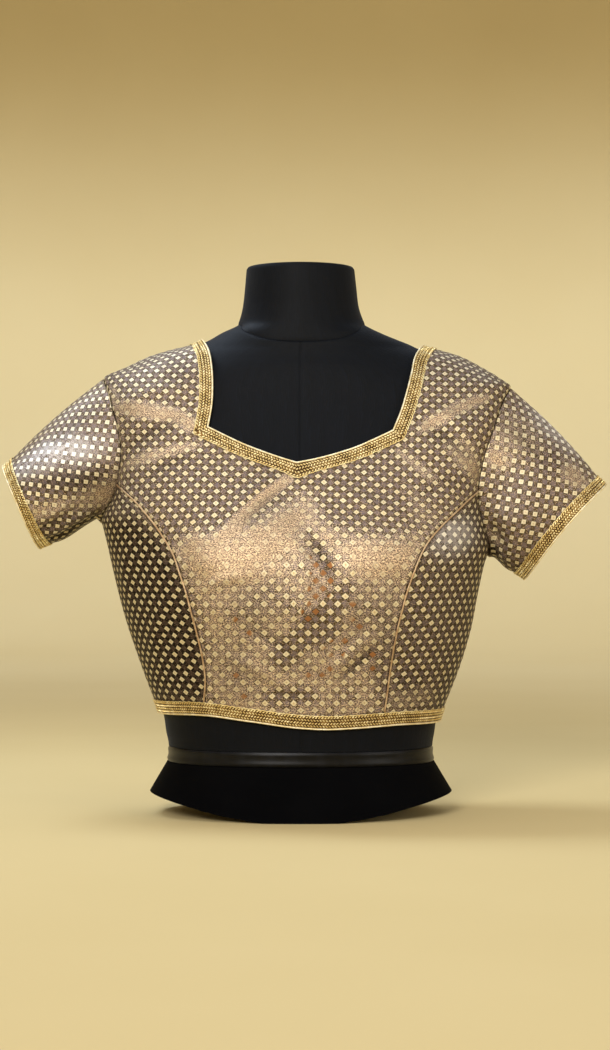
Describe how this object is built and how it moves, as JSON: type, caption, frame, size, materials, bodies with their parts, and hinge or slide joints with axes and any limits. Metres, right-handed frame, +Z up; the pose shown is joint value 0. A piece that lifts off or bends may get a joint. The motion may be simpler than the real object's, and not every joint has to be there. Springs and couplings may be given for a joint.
{
  "type": "choli blouse on dress form",
  "caption": "Short-sleeved, princess-seamed choli blouse with a sweetheart-square neckline and braid trims, worn by a limbless dress form that stands on its own flat-soled base.",
  "frame": {"origin": "centre of the dress form's flat sole", "axes": "+Z up, -Y is the blouse's front, +X towards the sleeve on the right in a front view"},
  "size_m": [0.5551, 0.2472, 0.5],
  "materials": {
    "brocade": "metallic brocade with a small pale diamond repeat",
    "braid": "gold braid in slanted stitches",
    "cord": "smooth satin cord",
    "jersey": "matt black jersey",
    "satin": "glossy black band",
    "base_black": "matt black"
  },
  "bodies": {
    "root": {"form_torso": "jersey", "form_neck": "jersey", "form_waist_band": "satin", "form_base": "base_black", "front_centre": "brocade", "front_side_left": "brocade", "front_side_right": "brocade", "back_left": "brocade", "back_right": "brocade", "back_placket": "brocade", "sleeve_left": "brocade", "sleeve_right": "brocade", "neck_trim": "braid", "hem_trim": "braid", "cuff_trim_left": "braid", "cuff_trim_right": "braid", "princess_piping_left": "cord", "princess_piping_right": "cord"}
  },
  "joints": []
}
